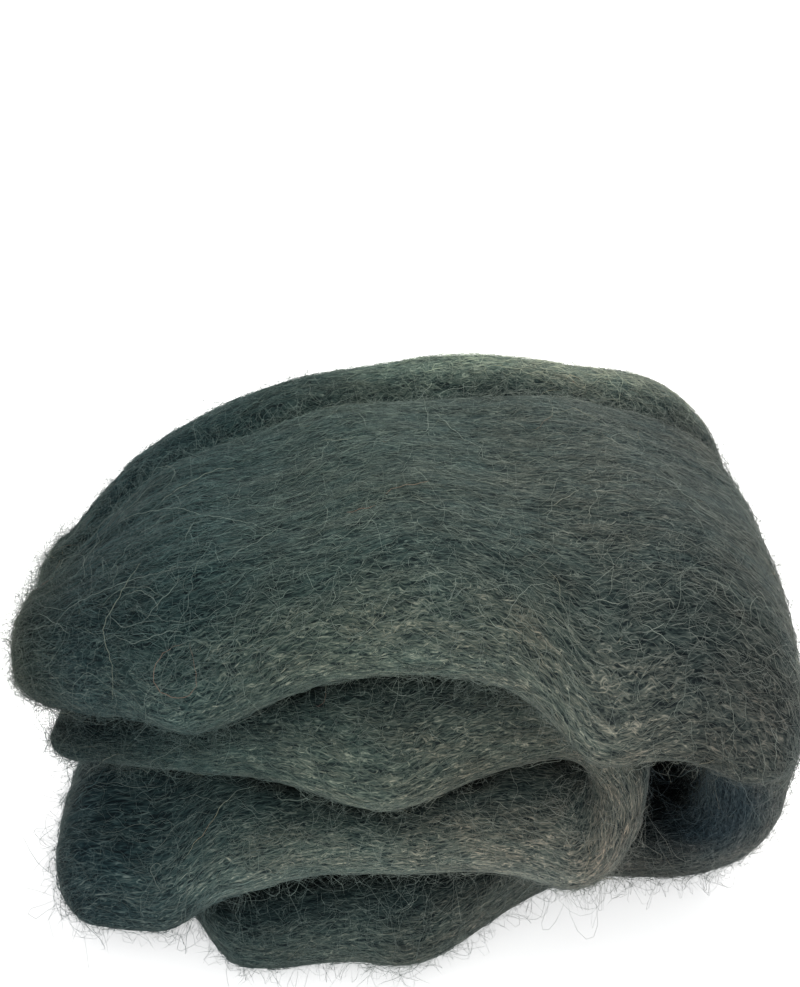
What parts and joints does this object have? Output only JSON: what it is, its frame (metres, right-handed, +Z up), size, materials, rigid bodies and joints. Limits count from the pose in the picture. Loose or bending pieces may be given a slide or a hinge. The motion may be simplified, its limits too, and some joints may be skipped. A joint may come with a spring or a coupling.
{
  "type": "wool roving hank",
  "caption": "Soft hank of combed wool roving: a thick strand folded back and forth into a plump bundle, with an open loop at its end.",
  "frame": {"origin": "on the surface, under the middle of the hank's box", "axes": "+X along the folds towards the open loop, -Y the front where the folds show, +Z up"},
  "size_m": [0.1496, 0.1096, 0.0793],
  "materials": {
    "wool": "matt combed wool fibre, dyed charcoal green"
  },
  "bodies": {
    "root": {"roving_hank": "wool"}
  },
  "joints": []
}
